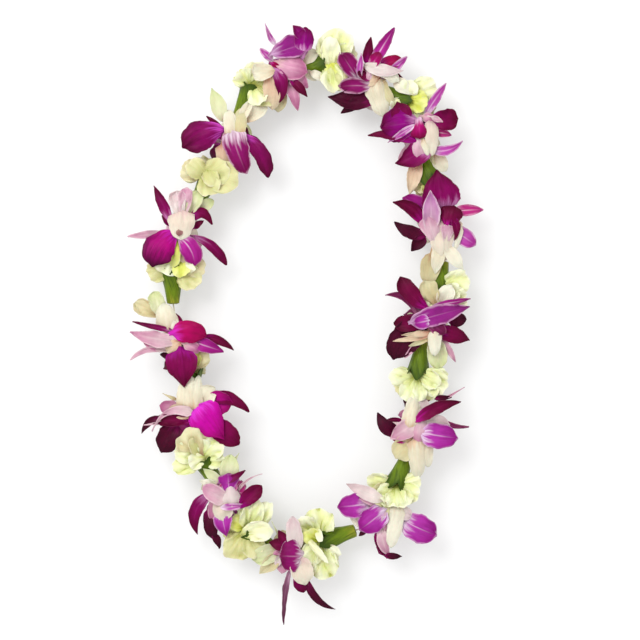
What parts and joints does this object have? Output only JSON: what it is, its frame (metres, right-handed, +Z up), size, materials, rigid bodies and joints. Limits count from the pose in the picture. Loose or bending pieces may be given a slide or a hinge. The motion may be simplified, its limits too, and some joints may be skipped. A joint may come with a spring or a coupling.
{
  "type": "fresh flower lei",
  "caption": "Open garland of purple and cream dendrobium orchids alternating with pale green carnations, threaded on one string and lying flat in a tall oval.",
  "frame": {"origin": "centre of the lei's box in plan, on the surface that it lies on", "axes": "+Y along the long way of the oval, +X to the right as seen from above, +Z up from the surface"},
  "size_m": [0.3052, 0.5198, 0.0605],
  "materials": {
    "orchid_purple": "waxy magenta petal, darker at its edge and white at its base, with fine veins",
    "orchid_cream": "waxy cream white petal with a pink blush and a greenish tip",
    "calyx_green": "smooth bright green calyx with fine lengthwise lines",
    "carnation_petal": "soft matt pale green petal with a saw-toothed edge",
    "string": "thin twisted cotton thread"
  },
  "bodies": {
    "root": {"purple_orchid_01": "orchid_purple", "purple_orchid_02": "orchid_purple", "purple_orchid_03": "orchid_purple", "purple_orchid_04": "orchid_purple", "purple_orchid_05": "orchid_purple", "purple_orchid_06": "orchid_purple", "purple_orchid_07": "orchid_purple", "purple_orchid_08": "orchid_purple", "purple_orchid_09": "orchid_purple", "purple_orchid_10": "orchid_purple", "purple_orchid_11": "orchid_purple", "purple_orchid_12": "orchid_purple", "purple_orchid_13": "orchid_purple", "cream_orchid_01": "orchid_cream", "cream_orchid_02": "orchid_cream", "cream_orchid_03": "orchid_cream", "cream_orchid_04": "orchid_cream", "cream_orchid_05": "orchid_cream", "cream_orchid_06": "orchid_cream", "cream_orchid_07": "orchid_cream", "cream_orchid_08": "orchid_cream", "cream_orchid_09": "orchid_cream", "cream_orchid_10": "orchid_cream", "cream_orchid_11": "orchid_cream", "cream_orchid_12": "orchid_cream", "cream_orchid_13": "orchid_cream", "carnation_calyx_01": "calyx_green", "carnation_calyx_02": "calyx_green", "carnation_calyx_03": "calyx_green", "carnation_calyx_04": "calyx_green", "carnation_calyx_05": "calyx_green", "carnation_calyx_06": "calyx_green", "carnation_calyx_07": "calyx_green", "carnation_calyx_08": "calyx_green", "carnation_calyx_09": "calyx_green", "carnation_calyx_10": "calyx_green", "carnation_calyx_11": "calyx_green", "carnation_calyx_12": "calyx_green", "carnation_calyx_13": "calyx_green", "carnation_petals_01": "carnation_petal", "carnation_petals_02": "carnation_petal", "carnation_petals_03": "carnation_petal", "carnation_petals_04": "carnation_petal", "carnation_petals_05": "carnation_petal", "carnation_petals_06": "carnation_petal", "carnation_petals_07": "carnation_petal", "carnation_petals_08": "carnation_petal", "carnation_petals_09": "carnation_petal", "carnation_petals_10": "carnation_petal", "carnation_petals_11": "carnation_petal", "carnation_petals_12": "carnation_petal", "carnation_petals_13": "carnation_petal", "string": "string"}
  },
  "joints": []
}
